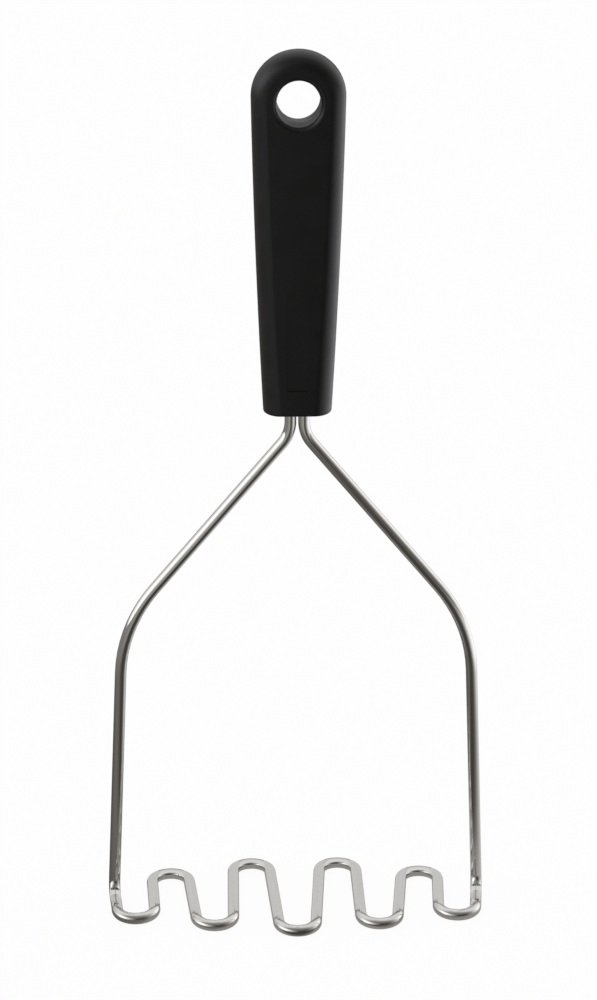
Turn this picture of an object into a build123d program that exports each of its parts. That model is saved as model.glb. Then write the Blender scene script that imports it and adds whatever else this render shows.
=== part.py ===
"""Potato masher: one bent steel wire with a serpentine mashing base, held in a moulded handle.

Millimetres. The origin is the middle of the mashing base, on the surface that the base rests on.
+Z goes up the handle, +X goes across the base, and -Y is the front of the masher.
"""
from build123d import *
from math import acos, degrees
import os

# Wire: one continuous length of round steel wire
wire_diameter = 3.5

# Mashing base: the wire's centre line runs through nine round bends, five near (front) and four far
bend_radius = 5.7
base_reach_x = 49.2
base_reach_y = 15.7
near_across_shares = (-1.0, -0.511, 0.0, 0.511, 1.0)
near_depth_shares = (0.45, 0.757, 1.0, 0.757, 0.45)
far_across_shares = (-0.783, -0.272, 0.272, 0.783)
far_depth_shares = (0.624, 1.0, 1.0, 0.624)

# Pressed faces of the base: a deep flat on top of each run, and a shallow level sole underneath
run_press = 0.88
sole_press = 0.3
flat_far_reach = 4.3
flat_near_outer = 2.3
flat_near_inner = 1.3
flat_foot_gap = 0.3

# Legs, shoulders and neck: the corners of the centre line, and the radius of the bend at each. The
# feet stand a little outside the outer bends of the base, and the legs lean in from there.
leg_set_back = 5.8
foot_splay = 1.1
foot_radius = 4.5
leg_lean = 3.6
shoulder_height = 91.4
shoulder_radius = 47.3
neck_drop = 7.8
neck_radius = 11.0
shank_spacing = 4.0

# Handle: its lower face, its length, and its cross-section from the lower end to the round head. Its
# faces lean in towards the head and level out there.
handle_height = 161.3
handle_length = 110.0
head_half_width = 13.65
end_half_width = 10.05
side_bow = 0.41
head_half_depth = 5.1
end_half_depth = 6.5
head_corner_radius = 4.6
end_corner_radius = 5.3
face_crown = 0.2
side_crown = 0.15
end_round = 0.7
section_shares = (0.0, 0.2, 0.4, 0.6, 0.8, 1.0)

# Hanging hole: a round land, then walls that open from a narrower throat in the middle towards a
# rounded mouth on each face. Walls and mouths are stretched a little in height.
hole_radius = 6.3
throat_radius = 5.65
mouth_radius = 6.45
mouth_spacing = 7.3
mouth_round = 1.25
mouth_stretch = 1.065
hole_drop = 1.2

# Bare recessed panel on the front face
panel_width = 6.8
panel_length = 30.0
panel_depth = 0.3
panel_corner_radius = 1.0
panel_rise = 23.0

# Inside the handle both shank ends are pressed flat over a short length, which locks them in place
shank_depth = 62.0
lock_press = 0.5
lock_length = 8.0
lock_inset = 10.0
moulding_gap = 0.1

# One overrun serves all cuts
overrun = 2.0

wire_radius = wire_diameter / 2
wire_height = wire_radius - sole_press
run_top = wire_height + wire_radius - run_press
foot_spread = base_reach_x + bend_radius + foot_splay
shoulder_spread = foot_spread - leg_lean
shank_top = handle_height + shank_depth
lock_top = shank_top - lock_inset
lock_half_depth = wire_radius - lock_press
handle_top = handle_height + handle_length
head_height = handle_top - head_half_width
hole_height = head_height - hole_drop

near_bends = [
    Vector(across * base_reach_x, -depth * base_reach_y)
    for across, depth in zip(near_across_shares, near_depth_shares)
]
far_bends = [
    Vector(across * base_reach_x, depth * base_reach_y)
    for across, depth in zip(far_across_shares, far_depth_shares)
]
bends = sorted(near_bends + far_bends, key=lambda bend: bend.X)


def touch(bend, target, reach, turn):
    """Point of a bend where a straight run to the target leaves it.

    The run passes the target at the distance reach minus the bend's own radius. The turn is 1 where
    the point lies anticlockwise of the line to the target, and -1 where it lies clockwise.
    """
    to_target = target - bend
    spread = degrees(acos(reach / to_target.length))
    return bend + to_target.normalized().rotate(Axis.Z, turn * spread) * bend_radius


# Where the wire arrives at each bend of the base and where it leaves it, from left to right
foot = Vector(foot_spread, leg_set_back)
arrivals = [touch(bends[0], Vector(-foot.X, foot.Y), bend_radius, 1)]
departures = []
for number, (bend, following) in enumerate(zip(bends, bends[1:])):
    turn = -1 if number % 2 == 0 else 1
    departures.append(touch(bend, following, 2 * bend_radius, turn))
    arrivals.append(touch(following, bend, 2 * bend_radius, turn))
departures.append(Vector(-arrivals[0].X, arrivals[0].Y))


def leg_corners(side, last):
    """Corners of one leg's centre line, from the shank's end down to the first bend of the base."""
    return [
        (side * shank_spacing / 2, leg_set_back, shank_top),
        (side * shank_spacing / 2, leg_set_back, handle_height - neck_drop),
        (side * shoulder_spread, leg_set_back, shoulder_height),
        (side * foot_spread, leg_set_back, wire_height),
        (last.X, last.Y, wire_height),
    ]


# The wire: a round section swept down the left leg, through the base and up the right leg
with BuildPart() as masher_wire:
    with BuildLine() as centre_line:
        leg_radii = (neck_radius, shoulder_radius, foot_radius)
        FilletPolyline(leg_corners(-1, arrivals[0]), radius=leg_radii)
        for number, bend in enumerate(bends):
            front_or_back = -1 if number % 2 == 0 else 1
            level = Vector(0, 0, wire_height)
            crest = bend + Vector(0, front_or_back * bend_radius)
            ThreePointArc(arrivals[number] + level, crest + level, departures[number] + level)
            if number < len(bends) - 1:
                Line(departures[number] + level, arrivals[number + 1] + level)
        FilletPolyline(leg_corners(1, departures[-1])[::-1], radius=leg_radii[::-1])
    path = centre_line.wires()[0]
    shank_start = Vector(-shank_spacing / 2, leg_set_back, shank_top)
    with BuildSketch(Plane(origin=shank_start, z_dir=(0, 0, -1))):
        Circle(wire_radius)
    sweep(path=path)

    # The sole: the whole underside is pressed level, so that the base stands flat
    with BuildSketch(Plane.XY):
        Rectangle(2 * (foot_spread + wire_diameter), 4 * (base_reach_y + bend_radius))
    extrude(amount=-wire_diameter, mode=Mode.SUBTRACT)

    # The flats on top of the runs: each follows its run, and ends slantwise at the near bend and in
    # a straight line across the shoulder of the far bend
    inner = bend_radius - wire_radius
    outer = bend_radius + wire_radius
    with BuildSketch(Plane.XY.offset(run_top)):
        for left, right in zip(bends, bends[1:]):
            near, far = (left, right) if left.Y < right.Y else (right, left)
            side = 1 if far.X > near.X else -1
            slope = (flat_near_outer + flat_near_inner) / wire_diameter
            with BuildLine():
                Polyline(
                    (far.X - side * flat_far_reach, far.Y + outer + overrun),
                    (far.X - side * flat_far_reach, far.Y),
                    (far.X - side * inner / 2, far.Y),
                    (
                        near.X + side * (outer + overrun),
                        near.Y + flat_near_outer + slope * overrun,
                    ),
                    (
                        near.X + side * (inner - overrun),
                        near.Y - flat_near_inner - slope * overrun,
                    ),
                    (far.X - side * (outer + overrun), far.Y),
                    (far.X - side * (outer + overrun), far.Y + outer + overrun),
                    close=True,
                )
            make_face()
        for side in (-1, 1):
            bend = bends[0] if side < 0 else bends[-1]
            flat_start = leg_set_back - foot_radius - flat_foot_gap
            with BuildLine():
                Polyline(
                    (side * (foot_spread + wire_radius), flat_start),
                    (bend.X + side * (inner - overrun), flat_start),
                    (
                        bend.X + side * (inner - overrun),
                        bend.Y - flat_near_inner - slope * overrun,
                    ),
                    (bend.X + side * outer, bend.Y + flat_near_outer),
                    close=True,
                )
            make_face()
    extrude(amount=run_press + overrun, mode=Mode.SUBTRACT)

    # The lock: front and back of both shank ends are pressed flat inside the handle
    with BuildSketch(Plane.XY.offset(lock_top)):
        for side in (-1, 1):
            with Locations((0, leg_set_back + side * (lock_half_depth + wire_radius))):
                Rectangle(shank_spacing + 2 * wire_diameter, wire_diameter)
    extrude(amount=-lock_length, mode=Mode.SUBTRACT)
masher_wire.part.label = "masher_wire"


def half_width_at(share):
    """Half the handle's width at a share of the way up to the head, with the sides bowed outwards."""
    straight = end_half_width + (head_half_width - end_half_width) * share
    return straight + 4 * side_bow * share * (1 - share)


def half_depth_at(share):
    """Half the handle's depth at a share of the way up to the head, where the faces level out."""
    return head_half_depth + (end_half_depth - head_half_depth) * (1 - share) ** 2


def corner_radius_at(share):
    """Radius of the handle's long corners at a share of the way up to the head."""
    return end_corner_radius + (head_corner_radius - end_corner_radius) * share


# The handle: a loft through crowned sections up to a head that is turned about the head's centre
with BuildPart() as handle:
    for share in section_shares:
        half_width = half_width_at(share)
        half_depth = half_depth_at(share)
        corner_x = half_width - side_crown
        corner_y = half_depth - face_crown
        height = handle_height + (head_height - handle_height) * share
        with BuildSketch(Plane(origin=(0, leg_set_back, height))) as section:
            with BuildLine():
                ThreePointArc((-corner_x, -corner_y), (0, -half_depth), (corner_x, -corner_y))
                ThreePointArc((corner_x, -corner_y), (half_width, 0), (corner_x, corner_y))
                ThreePointArc((corner_x, corner_y), (0, half_depth), (-corner_x, corner_y))
                ThreePointArc((-corner_x, corner_y), (-half_width, 0), (-corner_x, -corner_y))
            make_face()
            fillet(section.vertices(), radius=corner_radius_at(share))
    loft()

    with BuildSketch(Plane(origin=(0, leg_set_back, head_height))) as head_profile:
        add(section.sketch_local)
        with Locations((head_half_width, 0)):
            Rectangle(2 * head_half_width, 4 * head_half_depth, mode=Mode.INTERSECT)
    head_axis = Axis((0, leg_set_back, head_height), (0, -1, 0))
    revolve(axis=head_axis, revolution_arc=180)

    fillet(handle.faces().sort_by(Axis.Z)[0].edges(), radius=end_round)

    # The hanging hole: both mouths and their walls are one profile turned about the hole's axis and then
    # stretched in height, and the round land is cut through them
    face_depth = head_half_depth - face_crown * (mouth_radius / head_half_width) ** 2
    rim_radius = mouth_radius + mouth_round
    with BuildPart(mode=Mode.PRIVATE) as mouths:
        with BuildSketch():
            with BuildLine():
                mouth_start = (mouth_radius, mouth_spacing / 2)
                Polyline((0, 0), (throat_radius, 0), mouth_start)
                EllipticalCenterArc(
                    (rim_radius, mouth_spacing / 2),
                    x_radius=mouth_round,
                    y_radius=face_depth - mouth_spacing / 2,
                    start_angle=90,
                    arc_size=90,
                )
                cut_end = face_depth + overrun
                Polyline((rim_radius, face_depth), (rim_radius, cut_end), (0, cut_end), (0, 0))
            make_face()
            mirror(about=Plane.XZ)
        revolve(axis=Axis.Y)
        scale(by=(1, 1, mouth_stretch))
    with Locations((0, leg_set_back, hole_height)):
        add(mouths.part, mode=Mode.SUBTRACT)
    hole_plane = Plane(origin=(0, leg_set_back, hole_height), x_dir=(1, 0, 0), z_dir=(0, -1, 0))
    with BuildSketch(hole_plane):
        Circle(hole_radius)
    extrude(amount=head_half_depth, both=True, mode=Mode.SUBTRACT)

    # The sockets that the moulding leaves round the two shanks, with the plastic that fills the lock
    with BuildPart(mode=Mode.PRIVATE) as sockets:
        with BuildSketch(Plane.XY.offset(handle_height - overrun)):
            with Locations((-shank_spacing / 2, leg_set_back), (shank_spacing / 2, leg_set_back)):
                Circle(wire_radius + moulding_gap)
        extrude(amount=shank_depth + moulding_gap + overrun)
        with BuildSketch(Plane.XY.offset(lock_top - moulding_gap)):
            for side in (-1, 1):
                lock_y = leg_set_back + side * (lock_half_depth + moulding_gap + wire_radius)
                with Locations((0, lock_y)):
                    Rectangle(shank_spacing + 2 * wire_diameter, wire_diameter)
        extrude(amount=2 * moulding_gap - lock_length, mode=Mode.SUBTRACT)
    add(sockets.part, mode=Mode.SUBTRACT)

    # The bare panel, sunk along the slope of the front face
    panel_share = panel_rise / (head_height - handle_height)
    lean = 2 * (end_half_depth - head_half_depth) * (1 - panel_share) / (head_height - handle_height)
    panel_y = leg_set_back - half_depth_at(panel_share) + panel_depth
    panel_plane = Plane(
        origin=(0, panel_y, handle_height + panel_rise), x_dir=(1, 0, 0), z_dir=(0, -1, lean)
    )
    with BuildSketch(panel_plane):
        RectangleRounded(panel_width, panel_length, panel_corner_radius)
    extrude(amount=panel_depth + overrun, mode=Mode.SUBTRACT)
handle.part.label = "handle"

os.makedirs("parts", exist_ok=True)
export_step(masher_wire.part, "parts/masher_wire.step")
export_step(handle.part, "parts/handle.step")
print("wire length", round(path.length, 1), "overall height", round(handle_top, 1))
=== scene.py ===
"""Potato masher: a polished steel wire with a pressed serpentine base, in a satin black handle.

Metres, +Z up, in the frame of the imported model. The front of the masher looks along -Y.
"""
import math

import bmesh
import bpy
import numpy as np
from mathutils import Matrix, Quaternion, Vector


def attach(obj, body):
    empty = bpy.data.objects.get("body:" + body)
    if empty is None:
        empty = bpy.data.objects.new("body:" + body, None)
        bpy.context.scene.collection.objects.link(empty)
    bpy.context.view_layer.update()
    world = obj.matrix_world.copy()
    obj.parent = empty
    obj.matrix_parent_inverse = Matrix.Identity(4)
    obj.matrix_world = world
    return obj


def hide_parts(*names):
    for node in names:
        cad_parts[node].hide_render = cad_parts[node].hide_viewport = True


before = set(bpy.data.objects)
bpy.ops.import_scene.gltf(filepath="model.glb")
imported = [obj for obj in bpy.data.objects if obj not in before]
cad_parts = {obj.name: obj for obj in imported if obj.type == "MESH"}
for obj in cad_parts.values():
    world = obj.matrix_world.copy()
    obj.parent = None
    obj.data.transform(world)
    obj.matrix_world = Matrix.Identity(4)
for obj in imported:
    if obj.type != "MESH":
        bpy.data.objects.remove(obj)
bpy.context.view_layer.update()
MM = 0.001

# The camera of the photograph, found from the outline of the wire and the handle
CAMERA_ELEVATION = math.radians(23.28)
CAMERA_AZIMUTH = math.radians(-1.78)
CAMERA_ROLL = 0.0038
CAMERA_DISTANCE = 1200 * MM
CAMERA_TARGET = Vector((0, 5.8, 140)) * MM
PIXELS_PER_MM = 3.3794
TARGET_PIXEL = (297.03, 475.70)
FRAME_PIXELS = (597, 1000)
SENSOR_HEIGHT = 24.0

# The wire of the CAD: its section, the bends of its base, its corners and its pressed faces
WIRE_DIAMETER = 3.5 * MM
WIRE_RADIUS = WIRE_DIAMETER / 2
WIRE_HEIGHT = 1.45 * MM
BEND_RADIUS = 5.7 * MM
BASE_REACH_X = 49.2 * MM
BASE_REACH_Y = 15.7 * MM
NEAR_BENDS = ((-1.0, 0.45), (-0.511, 0.757), (0.0, 1.0), (0.511, 0.757), (1.0, 0.45))
FAR_BENDS = ((-0.783, 0.624), (-0.272, 1.0), (0.272, 1.0), (0.783, 0.624))
LEG_SET_BACK = 5.8 * MM
FOOT_SPREAD = 56.0 * MM
FOOT_RADIUS = 4.5 * MM
SHOULDER_SPREAD = 52.4 * MM
SHOULDER_HEIGHT = 91.4 * MM
SHOULDER_RADIUS = 47.3 * MM
NECK_HEIGHT = 153.5 * MM
NECK_RADIUS = 11.0 * MM
SHANK_REACH = 2.0 * MM
SHANK_TOP = 223.3 * MM
RUN_TOP = 2.32 * MM
FLAT_FAR_REACH = 4.3 * MM
FLAT_NEAR_OUTER = 2.3 * MM
FLAT_NEAR_INNER = 1.3 * MM
FLAT_FOOT_END = 1.0 * MM

# How finely the wire is modelled, and how the press runs out: a low crown over the far bends, a ramp at
# the near ends of the flats, and a slight ridge with a ramp behind it at the feet
WIRE_SIDES = 60
BEND_STEP = math.radians(4)
STRAIGHT_STEP = 5 * MM
END_STEP = 0.3 * MM
FAR_CROWN_SHARE = 0.45
FAR_RAMP_LENGTH = 1.1 * MM
FOOT_RAMP_LENGTH = 1.9 * MM
FOOT_RAMP_SLOPE = 0.35
FOOT_RIDGE_START = -4.5 * MM
FOOT_RIDGE_FULL = -1 * MM
FOOT_RIDGE_LIFT = 0.12 * MM
FOOT_RIDGE_SLOPE = 0.3
LOWEST_PRESSED = WIRE_HEIGHT + 0.2 * MM
NEAR_RAMP_LENGTH = 1.7 * MM
NEAR_RAMP_SLOPE = 0.48
CUT_ACCURACY = 0.0001 * MM
MERGE_DISTANCE = 0.001 * MM
LEVEL_TOLERANCE = 0.01 * MM
SIDE_REACH = BEND_RADIUS + 2 * WIRE_RADIUS
SMOOTH_ANGLE = math.radians(35)

# The studio as the masher mirrors it, all round: brightness at an azimuth in degrees, from the front
# towards the right. First the room with its two softboxes, then the table further out, and then the
# table close around the base. The table's levels are painted light and shade: the table glows with them
# for glossy rays only.
ROOM_LEVELS = (
    (-180, 0.85),
    (-123, 0.85),
    (-100, 1.2),
    (-75, 1.9),
    (-55, 1.85),
    (-38, 1.1),
    (-24, 0.6),
    (-10, 0.28),
    (5, 0.09),
    (36, 0.1),
    (52, 0.24),
    (71, 0.5),
    (92, 1.1),
    (112, 1.6),
    (130, 1.5),
    (150, 1.0),
    (180, 0.85),
)
# Painted light and shade on the table, seen only by glossy rays: further out, then close around the base.
FAR_TABLE_PAINTED_LEVELS = (
    (-180, 0.2),
    (-165, 0.22),
    (-148, 0.25),
    (-100, 0.3),
    (-60, 0.3),
    (-40, 0.4),
    (-12, 0.52),
    (-3, 0.3),
    (4, 0.09),
    (20, 0.09),
    (36, 0.36),
    (52, 0.75),
    (71, 1.2),
    (93, 1.6),
    (120, 1.7),
    (148, 0.8),
    (165, 0.25),
    (180, 0.2),
)
NEAR_TABLE_PAINTED_LEVELS = (
    (-180, 0.35),
    (-150, 0.2),
    (-107, 0.13),
    (-80, 0.2),
    (-55, 0.22),
    (-25, 0.16),
    (-8, 0.08),
    (22, 0.08),
    (38, 0.11),
    (57, 0.22),
    (80, 0.5),
    (104, 0.85),
    (150, 0.7),
    (168, 0.45),
    (180, 0.35),
)
CEILING_FRONT = 0.3
CEILING_BACK = 1.1
HORIZON_BEHIND = 0.3
# Painted level of the table under the base, seen only by glossy rays.
TABLE_UNDER_BASE_PAINTED = 0.42
TABLE_WHITE_LIFT = 0.95
TABLE_SIZE = 6
TABLE_WHITE = (0.92, 0.92, 0.92, 1)

# Where one part of the studio gives way to the next: shares of a unit direction, lengths on the table,
# and multiples of the base's own reach
HORIZON_FADE = (0.1, 0.3)
BEHIND_FADE = (0.75, 0.9)
CEILING_BACK_FADE = (-0.5, 0.3)
CEILING_FADE = (0.42, 0.72)
NEAR_TABLE_FADE = (160 * MM, 320 * MM)
UNDER_BASE_FADE = (1.0, 1.15)

near_bends = [Vector((x * BASE_REACH_X, -y * BASE_REACH_Y, 0)) for x, y in NEAR_BENDS]
far_bends = [Vector((x * BASE_REACH_X, y * BASE_REACH_Y, 0)) for x, y in FAR_BENDS]
bends = sorted(near_bends + far_bends, key=lambda bend: bend.x)


def add_camera():
    """The camera looks along the photograph's line of sight, and its shift places the target's pixel."""
    toward = Vector(
        (
            -math.sin(CAMERA_AZIMUTH) * math.cos(CAMERA_ELEVATION),
            math.cos(CAMERA_AZIMUTH) * math.cos(CAMERA_ELEVATION),
            -math.sin(CAMERA_ELEVATION),
        )
    )
    level = Vector((math.cos(CAMERA_AZIMUTH), math.sin(CAMERA_AZIMUTH), 0))
    above = level.cross(toward)
    right = level * math.cos(CAMERA_ROLL) + above * math.sin(CAMERA_ROLL)
    up = above * math.cos(CAMERA_ROLL) - level * math.sin(CAMERA_ROLL)
    data = bpy.data.cameras.new("photo_camera")
    data.sensor_fit = "VERTICAL"
    data.sensor_height = SENSOR_HEIGHT
    focal_pixels = PIXELS_PER_MM * CAMERA_DISTANCE / MM
    data.lens = focal_pixels * SENSOR_HEIGHT / FRAME_PIXELS[1]
    data.shift_x = (FRAME_PIXELS[0] / 2 - TARGET_PIXEL[0]) / FRAME_PIXELS[1]
    data.shift_y = (TARGET_PIXEL[1] - FRAME_PIXELS[1] / 2) / FRAME_PIXELS[1]
    data.clip_start = 0.01
    camera = bpy.data.objects.new("photo_camera", data)
    bpy.context.scene.collection.objects.link(camera)
    place = Matrix((right, up, -toward)).transposed().to_4x4()
    place.translation = CAMERA_TARGET - toward * CAMERA_DISTANCE
    camera.matrix_world = place
    bpy.context.scene.camera = camera


def base_touch(bend, target, reach, turn):
    """Where a straight run to the target leaves a bend of the base; turn is 1 for anticlockwise."""
    to_target = target - bend
    spread = math.acos(reach / to_target.length)
    return bend + Quaternion((0, 0, 1), turn * spread) @ to_target.normalized() * BEND_RADIUS


def corner_bend(before, corner, after, radius):
    """One rounded corner of the route, as its start, centre, axis and angle."""
    arriving = (corner - before).normalized()
    leaving = (after - corner).normalized()
    angle = arriving.angle(leaving)
    start = corner - arriving * radius * math.tan(angle / 2)
    inward = (leaving - arriving * arriving.dot(leaving)).normalized()
    return start, start + inward * radius, arriving.cross(leaving).normalized(), angle


def wire_route():
    """The bends that the wire takes, from the left shank through the base to the right shank."""
    lift = Vector((0, 0, WIRE_HEIGHT))
    foot = Vector((FOOT_SPREAD, LEG_SET_BACK, 0))
    arrivals = [base_touch(bends[0], Vector((-foot.x, foot.y, 0)), BEND_RADIUS, 1)]
    departures = []
    for number, (bend, following) in enumerate(zip(bends, bends[1:])):
        turn = -1 if number % 2 == 0 else 1
        departures.append(base_touch(bend, following, 2 * BEND_RADIUS, turn))
        arrivals.append(base_touch(following, bend, 2 * BEND_RADIUS, turn))
    departures.append(Vector((-arrivals[0].x, arrivals[0].y, 0)))

    def leg(side, last):
        corners = [
            Vector((side * SHANK_REACH, LEG_SET_BACK, SHANK_TOP)),
            Vector((side * SHANK_REACH, LEG_SET_BACK, NECK_HEIGHT)),
            Vector((side * SHOULDER_SPREAD, LEG_SET_BACK, SHOULDER_HEIGHT)),
            Vector((side * FOOT_SPREAD, LEG_SET_BACK, WIRE_HEIGHT)),
            last + lift,
        ]
        radii = [NECK_RADIUS, SHOULDER_RADIUS, FOOT_RADIUS]
        return corners, radii

    route = []
    corners, radii = leg(-1, arrivals[0])
    for before, corner, after, radius in zip(corners, corners[1:], corners[2:], radii):
        route.append(corner_bend(before, corner, after, radius))
    for number, bend in enumerate(bends):
        axis = Vector((0, 0, 1 if number % 2 == 0 else -1))
        arriving = arrivals[number] - bend
        leaving = departures[number] - bend
        angle = math.atan2(axis.dot(arriving.cross(leaving)), arriving.dot(leaving)) % (2 * math.pi)
        route.append((arrivals[number] + lift, bend + lift, axis, angle))
    corners, radii = leg(1, departures[-1])
    corners.reverse()
    radii.reverse()
    for before, corner, after, radius in zip(corners, corners[1:], corners[2:], radii):
        route.append(corner_bend(before, corner, after, radius))
    return route


def select_where(test):
    """Select the vertices of the piece in edit mode that pass a test of their place, and no others."""
    bpy.ops.mesh.select_all(action="DESELECT")
    mesh = bmesh.from_edit_mesh(bpy.context.object.data)
    for vert in mesh.verts:
        vert.select = test(vert.co)
    mesh.select_flush(True)


def draw_straight(reach):
    """Extrude the last ring along a straight, in steps that are short at both ends."""
    middle = reach.length - 2 * END_STEP
    steps = max(1, round(middle / STRAIGHT_STEP))
    for length in (END_STEP, *[middle / steps] * steps, END_STEP):
        step = reach.normalized() * length
        bpy.ops.mesh.extrude_region_move(TRANSFORM_OT_translate={"value": step})


def bend_the_wire(route, start, end):
    """A ring is drawn along the straights and spun round the bends, from one shank's end to the other."""
    top_of_base = Vector((0, 0, 1))
    for _, _, axis, angle in reversed(route[:3]):
        top_of_base.rotate(Quaternion(axis, -angle))
    twist = math.atan2(top_of_base.y, top_of_base.x)
    bpy.ops.object.select_all(action="DESELECT")
    bpy.ops.mesh.primitive_circle_add(
        vertices=WIRE_SIDES, radius=WIRE_RADIUS, location=start, rotation=(0, 0, twist)
    )
    wire = bpy.context.object
    wire.name = "bent_wire"
    bpy.ops.object.transform_apply(location=True, rotation=True, scale=True)
    bpy.ops.object.mode_set(mode="EDIT")
    bpy.ops.mesh.select_all(action="SELECT")
    here = start
    for bend_start, centre, axis, angle in route:
        draw_straight(bend_start - here)
        steps = max(2, round(angle / BEND_STEP))
        bpy.ops.mesh.spin(steps=steps, angle=-angle, center=centre, axis=axis)
        here = centre + Quaternion(axis, angle) @ (bend_start - centre)
    draw_straight(end - here)
    bpy.ops.mesh.select_all(action="SELECT")
    bpy.ops.mesh.remove_doubles(threshold=MERGE_DISTANCE)
    for side in (-1, 1):
        select_where(lambda place: place.z > SHANK_TOP - LEVEL_TOLERANCE and place.x * side > 0)
        bpy.ops.mesh.edge_face_add()
    bpy.ops.mesh.select_all(action="SELECT")
    bpy.ops.mesh.normals_make_consistent(inside=False)
    return wire


def near_flat_end(bend, side):
    """The slanting end of a flat at a near bend: its middle, and the direction in which the flat lies."""
    inner = Vector((side * (BEND_RADIUS - WIRE_RADIUS), -FLAT_NEAR_INNER, 0))
    outer = Vector((side * (BEND_RADIUS + WIRE_RADIUS), FLAT_NEAR_OUTER, 0))
    slant = (outer - inner).normalized()
    return bend + (inner + outer) / 2, Vector((-side * slant.y, side * slant.x, 0))


def foot_middle(y):
    """How far out the middle of the wire lies, along the first run from a foot."""
    run_end = route[3][0]
    lean = (FOOT_SPREAD - abs(run_end.x)) / (LEG_SET_BACK - run_end.y)
    return FOOT_SPREAD + (y - LEG_SET_BACK) * lean


def pressed_level(place):
    """Height that the press leaves at a place of the base. The far bends keep a low crown."""
    for bend in far_bends:
        ramp = FLAT_FAR_REACH - abs(place.x - bend.x)
        if ramp > 0 and place.y > bend.y:
            share = min(1, ramp / FAR_RAMP_LENGTH)
            share *= share * (3 - 2 * share)
            return RUN_TOP + (place.z - RUN_TOP) * FAR_CROWN_SHARE * share
    for bend in near_bends:
        if abs(place.x - bend.x) > SIDE_REACH or place.y > bend.y + BEND_RADIUS:
            continue
        middle, flatwards = near_flat_end(bend, 1 if place.x > bend.x else -1)
        past_end = (middle - place).dot(flatwards)
        if past_end > NEAR_RAMP_LENGTH or abs(place.x - bend.x) < BEND_RADIUS - WIRE_DIAMETER:
            return math.inf
        if past_end > 0:
            return RUN_TOP + past_end * NEAR_RAMP_SLOPE
    past_foot = place.y - FLAT_FOOT_END
    if abs(place.x) < BASE_REACH_X or place.y < FOOT_RIDGE_START:
        return RUN_TOP
    if past_foot > FOOT_RAMP_LENGTH:
        return math.inf
    share = min(1, (place.y - FOOT_RIDGE_START) / (FOOT_RIDGE_FULL - FOOT_RIDGE_START))
    ridge = FOOT_RIDGE_LIFT - abs(abs(place.x) - foot_middle(place.y)) * FOOT_RIDGE_SLOPE
    return RUN_TOP + share * ridge + max(0, past_foot) * FOOT_RAMP_SLOPE


def cut_across(place, direction, reach):
    """Cut the wire across at a place of the base, so that a flat can end there in a clean line."""
    bpy.ops.mesh.select_all(action="DESELECT")
    mesh = bmesh.from_edit_mesh(bpy.context.object.data)
    for face in mesh.faces:
        middle = face.calc_center_median()
        if (middle - place).length < reach or any((v.co - place).length < reach for v in face.verts):
            face.select = True
    bpy.ops.mesh.bisect(plane_co=place, plane_no=direction, threshold=CUT_ACCURACY)


def press_the_base(wire):
    """The press flattens the top of each run, and the underside of the whole base is pressed level."""
    lift = Vector((0, 0, WIRE_HEIGHT))
    for bend in near_bends:
        for side in (-1, 1):
            middle, flatwards = near_flat_end(bend, side)
            cut_across(middle + lift, flatwards, 2 * WIRE_DIAMETER)
            cut_across(middle + lift - flatwards * NEAR_RAMP_LENGTH, flatwards, 2 * WIRE_DIAMETER)
    for bend in far_bends:
        for side in (-1, 1):
            reach = Vector((side * FLAT_FAR_REACH, BEND_RADIUS, 0))
            cut_across(bend + reach + lift, Vector((1, 0, 0)), 2 * WIRE_DIAMETER)
    for side in (-1, 1):
        for y in (FOOT_RIDGE_START, FOOT_RIDGE_FULL, FLAT_FOOT_END, FLAT_FOOT_END + FOOT_RAMP_LENGTH):
            foot = Vector((side * FOOT_SPREAD, y, WIRE_HEIGHT))
            cut_across(foot, Vector((0, 1, 0)), WIRE_DIAMETER)

    select_where(lambda place: place.z < 0)
    bpy.ops.transform.resize(value=(1, 1, 0), center_override=(0, 0, 0))
    mesh = bmesh.from_edit_mesh(wire.data)
    for vert in mesh.verts:
        if LOWEST_PRESSED < vert.co.z < 2 * WIRE_DIAMETER:
            vert.co.z = min(vert.co.z, pressed_level(vert.co))
    bmesh.update_edit_mesh(wire.data)


def finish_the_wire(wire):
    """Give the pressed faces their own finish, keep their rims crisp, and shade the rest smoothly."""
    bpy.ops.mesh.select_all(action="DESELECT")
    mesh = bmesh.from_edit_mesh(wire.data)
    for face in mesh.faces:
        middle = face.calc_center_median()
        on_top = abs(middle.z - RUN_TOP) < LEVEL_TOLERANCE and face.normal.z > 0.99
        underneath = middle.z < LEVEL_TOLERANCE and face.normal.z < -0.99
        by_foot = FOOT_RIDGE_START < middle.y < FLAT_FOOT_END and abs(middle.x) > BASE_REACH_X
        on_ridge = by_foot and middle.z > LOWEST_PRESSED and face.normal.z > 0.9
        face.select = on_top or underneath or on_ridge
    wire.active_material_index = 1
    bpy.ops.object.material_slot_assign()
    bpy.ops.mesh.region_to_loop()
    bpy.ops.mesh.mark_sharp()
    bpy.ops.object.mode_set(mode="OBJECT")
    bpy.ops.object.shade_smooth_by_angle(angle=SMOOTH_ANGLE, keep_sharp_edges=True)


def turned(points, centre, axis, angles):
    """The points, each turned about an axis through the centre by its own angle."""
    arms = points - centre
    cosines, sines = np.cos(angles)[:, None], np.sin(angles)[:, None]
    along_axis = (arms @ axis)[:, None] * axis
    return centre + arms * cosines + np.cross(axis, arms) * sines + along_axis * (1 - cosines)


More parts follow.
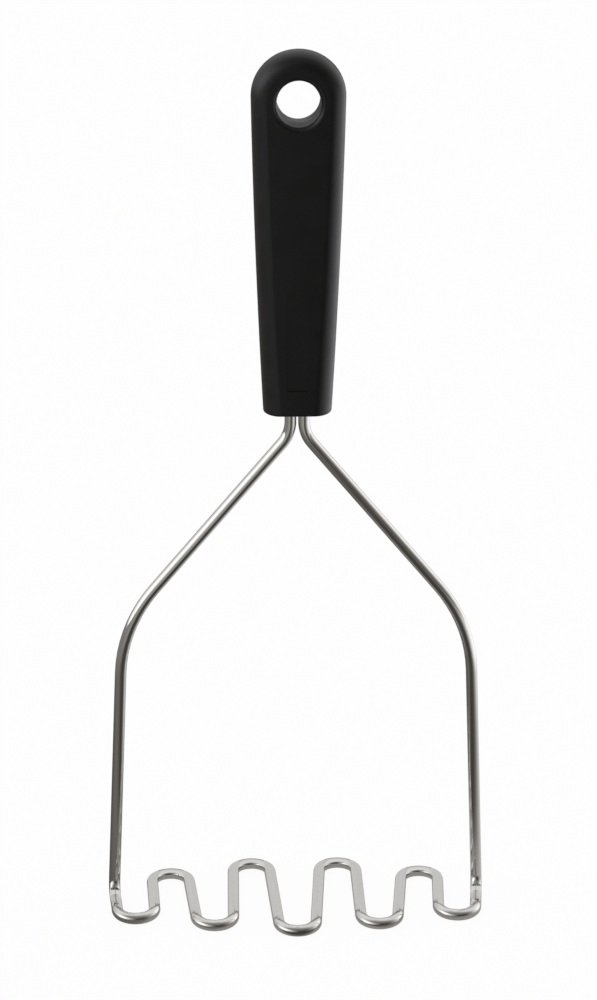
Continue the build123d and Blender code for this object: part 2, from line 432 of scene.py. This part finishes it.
def store_unbent_places(wire, route, start, end):
    """Where each point would lie if the wire were pulled straight, so that its finish can follow it."""
    points = np.empty(3 * len(wire.data.vertices))
    wire.data.vertices.foreach_get("co", points)
    points = points.reshape(-1, 3)
    unbent = np.zeros_like(points)
    nearest = np.full(len(points), np.inf)
    travelled, here, across = 0.0, start, Vector((0, 1, 0))

    def keep_nearest(flat_points, flow, length, along):
        frame_axes = np.array([flow, across, flow.cross(across)])
        local = (flat_points - np.array(here)) @ frame_axes.T
        overshoot = np.abs(along - np.clip(along, 0, length))
        away = np.hypot(np.hypot(local[:, 1], local[:, 2]), overshoot)
        closer = away < nearest
        nearest[closer] = away[closer]
        unbent[closer] = np.column_stack((travelled + along, local[:, 1], local[:, 2]))[closer]

    for bend in route + [None]:
        goal = bend[0] if bend else end
        flow = (goal - here).normalized()
        along = (points - np.array(here)) @ np.array(flow)
        keep_nearest(points, flow, (goal - here).length, along)
        travelled += (goal - here).length
        here = goal
        if bend:
            _, centre, axis, angle = bend
            arm = here - centre
            arms = points - np.array(centre)
            aside = arms @ np.array(axis.cross(arm.normalized()))
            angles = np.arctan2(aside, arms @ np.array(arm.normalized()))
            angles[angles < angle / 2 - math.pi] += 2 * math.pi
            laid_back = turned(points, np.array(centre), np.array(axis), -angles)
            keep_nearest(laid_back, flow, arm.length * angle, arm.length * angles)
            travelled += arm.length * angle
            turn = Quaternion(axis, angle)
            here = centre + turn @ arm
            across = turn @ across
    attribute = wire.data.attributes.new("unbent", "FLOAT_VECTOR", "POINT")
    attribute.data.foreach_set("vector", unbent.ravel())


def new_group(name, inputs, outputs):
    """A shader group with named inputs (name, kind, value) and outputs (name, kind)."""
    group = bpy.data.node_groups.new(name, "ShaderNodeTree")
    for label, kind, value in inputs:
        socket = group.interface.new_socket(label, in_out="INPUT", socket_type=kind)
        socket.default_value = value
    for label, kind in outputs:
        group.interface.new_socket(label, in_out="OUTPUT", socket_type=kind)
    entry = group.nodes.new("NodeGroupInput")
    leave = group.nodes.new("NodeGroupOutput")
    return group, entry, leave


def math_node(tree, operation, first, second=None):
    """A maths node on values or sockets, and its result."""
    node = tree.nodes.new("ShaderNodeMath")
    node.operation = operation
    for socket, value in zip(node.inputs, (first, second)):
        if value is None:
            continue
        if isinstance(value, bpy.types.NodeSocket):
            tree.links.new(value, socket)
        else:
            socket.default_value = value
    return node.outputs["Value"]


def remap(tree, value, low, high, to_low, to_high):
    """The value, carried smoothly from one range to another."""
    node = tree.nodes.new("ShaderNodeMapRange")
    node.interpolation_type = "SMOOTHSTEP"
    tree.links.new(value, node.inputs["Value"])
    for label, number in (
        ("From Min", low),
        ("From Max", high),
        ("To Min", to_low),
        ("To Max", to_high),
    ):
        if isinstance(number, bpy.types.NodeSocket):
            tree.links.new(number, node.inputs[label])
        else:
            node.inputs[label].default_value = number
    return node.outputs["Result"]


def drawn_lines_group():
    """Fine lines that run along the wire, as drawing and pressing leave them."""
    group, entry, leave = new_group(
        "drawn_lines",
        [
            ("Place", "NodeSocketVector", (0, 0, 0)),
            ("Length", "NodeSocketFloat", 0.01),
            ("Width", "NodeSocketFloat", 0.0002),
        ],
        [("Lines", "NodeSocketFloat")],
    )
    size = group.nodes.new("ShaderNodeCombineXYZ")
    group.links.new(entry.outputs["Length"], size.inputs["X"])
    group.links.new(entry.outputs["Width"], size.inputs["Y"])
    group.links.new(entry.outputs["Width"], size.inputs["Z"])
    scaled = group.nodes.new("ShaderNodeVectorMath")
    scaled.operation = "DIVIDE"
    group.links.new(entry.outputs["Place"], scaled.inputs[0])
    group.links.new(size.outputs["Vector"], scaled.inputs[1])
    noise = group.nodes.new("ShaderNodeTexNoise")
    noise.inputs["Scale"].default_value = 1
    noise.inputs["Detail"].default_value = 3
    noise.inputs["Roughness"].default_value = 0.6
    group.links.new(scaled.outputs["Vector"], noise.inputs["Vector"])
    group.links.new(noise.outputs["Fac"], leave.inputs["Lines"])
    return group


def handling_marks_group():
    """Broad, faint patches where a surface has been touched and wiped."""
    group, entry, leave = new_group(
        "handling_marks",
        [
            ("Place", "NodeSocketVector", (0, 0, 0)),
            ("Patch size", "NodeSocketFloat", 0.01),
            ("Polished", "NodeSocketFloat", 0.1),
            ("Dulled", "NodeSocketFloat", 0.2),
        ],
        [("Roughness", "NodeSocketFloat"), ("Marks", "NodeSocketFloat")],
    )
    scale = math_node(group, "DIVIDE", 1.0, entry.outputs["Patch size"])
    noise = group.nodes.new("ShaderNodeTexNoise")
    noise.inputs["Detail"].default_value = 2
    group.links.new(entry.outputs["Place"], noise.inputs["Vector"])
    group.links.new(scale, noise.inputs["Scale"])
    marks = remap(group, noise.outputs["Fac"], 0.3, 0.7, 0.0, 1.0)
    low, high = entry.outputs["Polished"], entry.outputs["Dulled"]
    group.links.new(remap(group, marks, 0.0, 1.0, low, high), leave.inputs["Roughness"])
    group.links.new(marks, leave.inputs["Marks"])
    return group


def place_group(tree, group, values):
    """A group node with its inputs set or linked."""
    node = tree.nodes.new("ShaderNodeGroup")
    node.node_tree = group
    for label, value in values.items():
        if isinstance(value, bpy.types.NodeSocket):
            tree.links.new(value, node.inputs[label])
        else:
            node.inputs[label].default_value = value
    return node


def new_material(name):
    """A material with its node tree and its shader."""
    material = bpy.data.materials.new(name)
    material.use_nodes = True
    tree = material.node_tree
    return material, tree, tree.nodes["Principled BSDF"]


def mix_colours(tree, share, first, second):
    """A colour between two, by a share."""
    node = tree.nodes.new("ShaderNodeMix")
    node.data_type = "RGBA"
    if isinstance(share, bpy.types.NodeSocket):
        tree.links.new(share, node.inputs["Factor"])
    else:
        node.inputs["Factor"].default_value = share
    for label, value in (("A", first), ("B", second)):
        socket = next(s for s in node.inputs if s.name == label and s.type == "RGBA")
        if isinstance(value, bpy.types.NodeSocket):
            tree.links.new(value, socket)
        else:
            socket.default_value = (*value, 1)
    return next(s for s in node.outputs if s.type == "RGBA")


def bump(tree, height, strength, distance):
    """A bump node on a height."""
    node = tree.nodes.new("ShaderNodeBump")
    node.inputs["Strength"].default_value = strength
    node.inputs["Distance"].default_value = distance
    tree.links.new(height, node.inputs["Height"])
    return node.outputs["Normal"]


def steel_finish(name, light, dark, polished, dulled, line_length, line_width, line_depth):
    """Bare steel wire: lines along the wire over a polish that varies a little."""
    material, tree, shader = new_material(name)
    unbent = tree.nodes.new("ShaderNodeAttribute")
    unbent.attribute_name = "unbent"
    place = unbent.outputs["Vector"]
    lines = place_group(
        tree, drawn_lines, {"Place": place, "Length": line_length, "Width": line_width}
    ).outputs["Lines"]
    marks = place_group(
        tree,
        handling_marks,
        {"Place": place, "Patch size": 6 * MM, "Polished": polished, "Dulled": dulled},
    )
    share = remap(tree, lines, 0.35, 0.65, 0.0, 1.0)
    tree.links.new(mix_colours(tree, share, dark, light), shader.inputs["Base Color"])
    tree.links.new(marks.outputs["Roughness"], shader.inputs["Roughness"])
    tree.links.new(bump(tree, lines, 0.5, line_depth), shader.inputs["Normal"])
    shader.inputs["Metallic"].default_value = 1
    return material


def satin_plastic():
    """Moulded black plastic with a fine grain, a little glossier where it has been handled."""
    material, tree, shader = new_material("satin_black_plastic")
    place = tree.nodes.new("ShaderNodeTexCoord").outputs["Object"]
    grain = tree.nodes.new("ShaderNodeTexNoise")
    grain.inputs["Scale"].default_value = 1 / (0.35 * MM)
    grain.inputs["Detail"].default_value = 2
    tree.links.new(place, grain.inputs["Vector"])
    marks = place_group(
        tree,
        handling_marks,
        {"Place": place, "Patch size": 9 * MM, "Polished": 0.33, "Dulled": 0.39},
    )
    colour = mix_colours(
        tree, marks.outputs["Marks"], (0.0034, 0.0031, 0.0034), (0.0044, 0.0041, 0.0044)
    )
    tree.links.new(colour, shader.inputs["Base Color"])
    tree.links.new(marks.outputs["Roughness"], shader.inputs["Roughness"])
    tree.links.new(bump(tree, grain.outputs["Fac"], 0.3, 0.03 * MM), shader.inputs["Normal"])
    return material


def grey(level):
    """A grey of that level. The dark ones are a little warm, as the room is."""
    cool = min(1, level / 0.8)
    return level, level * (0.93 + 0.07 * cool), level * (0.86 + 0.14 * cool)


def ring_of_levels(tree, azimuth, levels):
    """Brightness all round, read at an azimuth in radians."""
    node = tree.nodes.new("ShaderNodeValToRGB")
    ramp = node.color_ramp
    while len(ramp.elements) < len(levels):
        ramp.elements.new(0.5)
    for element, (degrees, level) in zip(ramp.elements, levels):
        element.position = 0.5 + degrees / 360
        element.color = (*grey(level), 1)
    turn = math_node(tree, "DIVIDE", azimuth, 2 * math.pi)
    tree.links.new(math_node(tree, "ADD", turn, 0.5), node.inputs["Fac"])
    return node.outputs["Color"]


def azimuth_of(tree, place):
    """The azimuth of a direction or place, from the front (-Y) towards the right, and its parts."""
    axes = tree.nodes.new("ShaderNodeSeparateXYZ")
    tree.links.new(place, axes.inputs["Vector"])
    x, y, z = (axes.outputs[label] for label in "XYZ")
    return math_node(tree, "ARCTAN2", x, math_node(tree, "MULTIPLY", y, -1.0)), x, y, z


def reach_of(tree, x, y, size):
    """How far a place lies from the middle of an ellipse, where 1 is its edge."""
    squares = []
    for part, length in zip((x, y), size):
        share = math_node(tree, "DIVIDE", part, length)
        squares.append(math_node(tree, "MULTIPLY", share, share))
    return math_node(tree, "SQRT", math_node(tree, "ADD", *squares))


def add_world():
    """Studio, white to the camera: a softbox each side, a bright wall behind, a dark room in front."""
    world = bpy.data.worlds.new("studio")
    bpy.context.scene.world = world
    world.use_nodes = True
    tree = world.node_tree
    direction = tree.nodes.new("ShaderNodeTexCoord").outputs["Generated"]
    azimuth, x, y, z = azimuth_of(tree, direction)
    room = ring_of_levels(tree, azimuth, ROOM_LEVELS)
    low = remap(tree, math_node(tree, "ABSOLUTE", z), *HORIZON_FADE, 1.0, 0.0)
    behind = remap(tree, y, *BEHIND_FADE, 0.0, 1.0)
    horizon = math_node(tree, "MULTIPLY", low, behind)
    room = mix_colours(tree, horizon, room, grey(HORIZON_BEHIND))
    backwards = remap(tree, y, *CEILING_BACK_FADE, 0.0, 1.0)
    ceiling = mix_colours(tree, backwards, grey(CEILING_FRONT), grey(CEILING_BACK))
    upwards = remap(tree, z, *CEILING_FADE, 0.0, 1.0)
    studio = mix_colours(tree, upwards, room, ceiling)
    path = tree.nodes.new("ShaderNodeLightPath")
    seen = mix_colours(tree, path.outputs["Is Camera Ray"], studio, (1, 1, 1))
    background = tree.nodes["Background"]
    tree.links.new(seen, background.inputs["Color"])
    background.inputs["Strength"].default_value = 1


def add_table():
    """White table top. For glossy rays it glows instead with painted light and shade: a painted level
    under the base, a painted ring close around it, and further out a painted stand-in for how the room
    lights it.
    """
    bpy.ops.object.select_all(action="DESELECT")
    bpy.ops.mesh.primitive_plane_add(size=TABLE_SIZE, location=(0, 0, 0))
    table = bpy.context.object
    table.name = "table_top"
    material, tree, shader = new_material("white_table")
    shader.inputs["Base Color"].default_value = TABLE_WHITE
    shader.inputs["Roughness"].default_value = 1
    shader.inputs["Specular IOR Level"].default_value = 0
    path = tree.nodes.new("ShaderNodeLightPath")
    place = tree.nodes.new("ShaderNodeTexCoord").outputs["Object"]
    azimuth, x, y, z = azimuth_of(tree, place)
    far_away = ring_of_levels(tree, azimuth, FAR_TABLE_PAINTED_LEVELS)
    close_by = ring_of_levels(tree, azimuth, NEAR_TABLE_PAINTED_LEVELS)
    distance = reach_of(tree, x, y, (1, 1))
    near = remap(tree, distance, *NEAR_TABLE_FADE, 1.0, 0.0)
    painted_reflection = mix_colours(tree, near, far_away, close_by)
    base = (FOOT_SPREAD, BASE_REACH_Y + BEND_RADIUS)
    under = remap(tree, reach_of(tree, x, y, base), *UNDER_BASE_FADE, 1.0, 0.0)
    painted_reflection = mix_colours(tree, under, painted_reflection, grey(TABLE_UNDER_BASE_PAINTED))
    # Painted reflection: for glossy rays the table glows with this pattern of light and shade.
    painted_glow = tree.nodes.new("ShaderNodeEmission")
    tree.links.new(painted_reflection, painted_glow.inputs["Color"])
    white = tree.nodes.new("ShaderNodeEmission")
    camera_mix = tree.nodes.new("ShaderNodeMixShader")
    glossy_mix = tree.nodes.new("ShaderNodeMixShader")
    lift = math_node(tree, "MULTIPLY", path.outputs["Is Camera Ray"], TABLE_WHITE_LIFT)
    tree.links.new(lift, camera_mix.inputs["Fac"])
    tree.links.new(shader.outputs["BSDF"], camera_mix.inputs[1])
    tree.links.new(white.outputs["Emission"], camera_mix.inputs[2])
    tree.links.new(path.outputs["Is Glossy Ray"], glossy_mix.inputs["Fac"])
    tree.links.new(camera_mix.outputs["Shader"], glossy_mix.inputs[1])
    tree.links.new(painted_glow.outputs["Emission"], glossy_mix.inputs[2])
    surface = tree.nodes["Material Output"].inputs["Surface"]
    tree.links.new(glossy_mix.outputs["Shader"], surface)
    table.data.materials.append(material)


drawn_lines = drawn_lines_group()
handling_marks = handling_marks_group()

route = wire_route()
left_shank_end = Vector((-SHANK_REACH, LEG_SET_BACK, SHANK_TOP))
right_shank_end = Vector((SHANK_REACH, LEG_SET_BACK, SHANK_TOP))
wire = bend_the_wire(route, left_shank_end, right_shank_end)
press_the_base(wire)
drawn_steel = steel_finish(
    "drawn_steel", (0.61, 0.6, 0.58), (0.57, 0.56, 0.54), 0.08, 0.13, 30 * MM, 0.15 * MM, 0.001 * MM
)
pressed_steel = steel_finish(
    "pressed_steel", (0.63, 0.615, 0.625), (0.52, 0.505, 0.515), 0.28, 0.36, 14 * MM, 0.12 * MM, 0.003 * MM
)
wire.data.materials.append(drawn_steel)
wire.data.materials.append(pressed_steel)
finish_the_wire(wire)
store_unbent_places(wire, route, left_shank_end, right_shank_end)
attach(wire, "root")
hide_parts("masher_wire")

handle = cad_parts["handle"]
handle.data.materials.clear()
handle.data.materials.append(satin_plastic())

add_camera()
add_world()
add_table()
bpy.context.scene.view_settings.view_transform = "Standard"
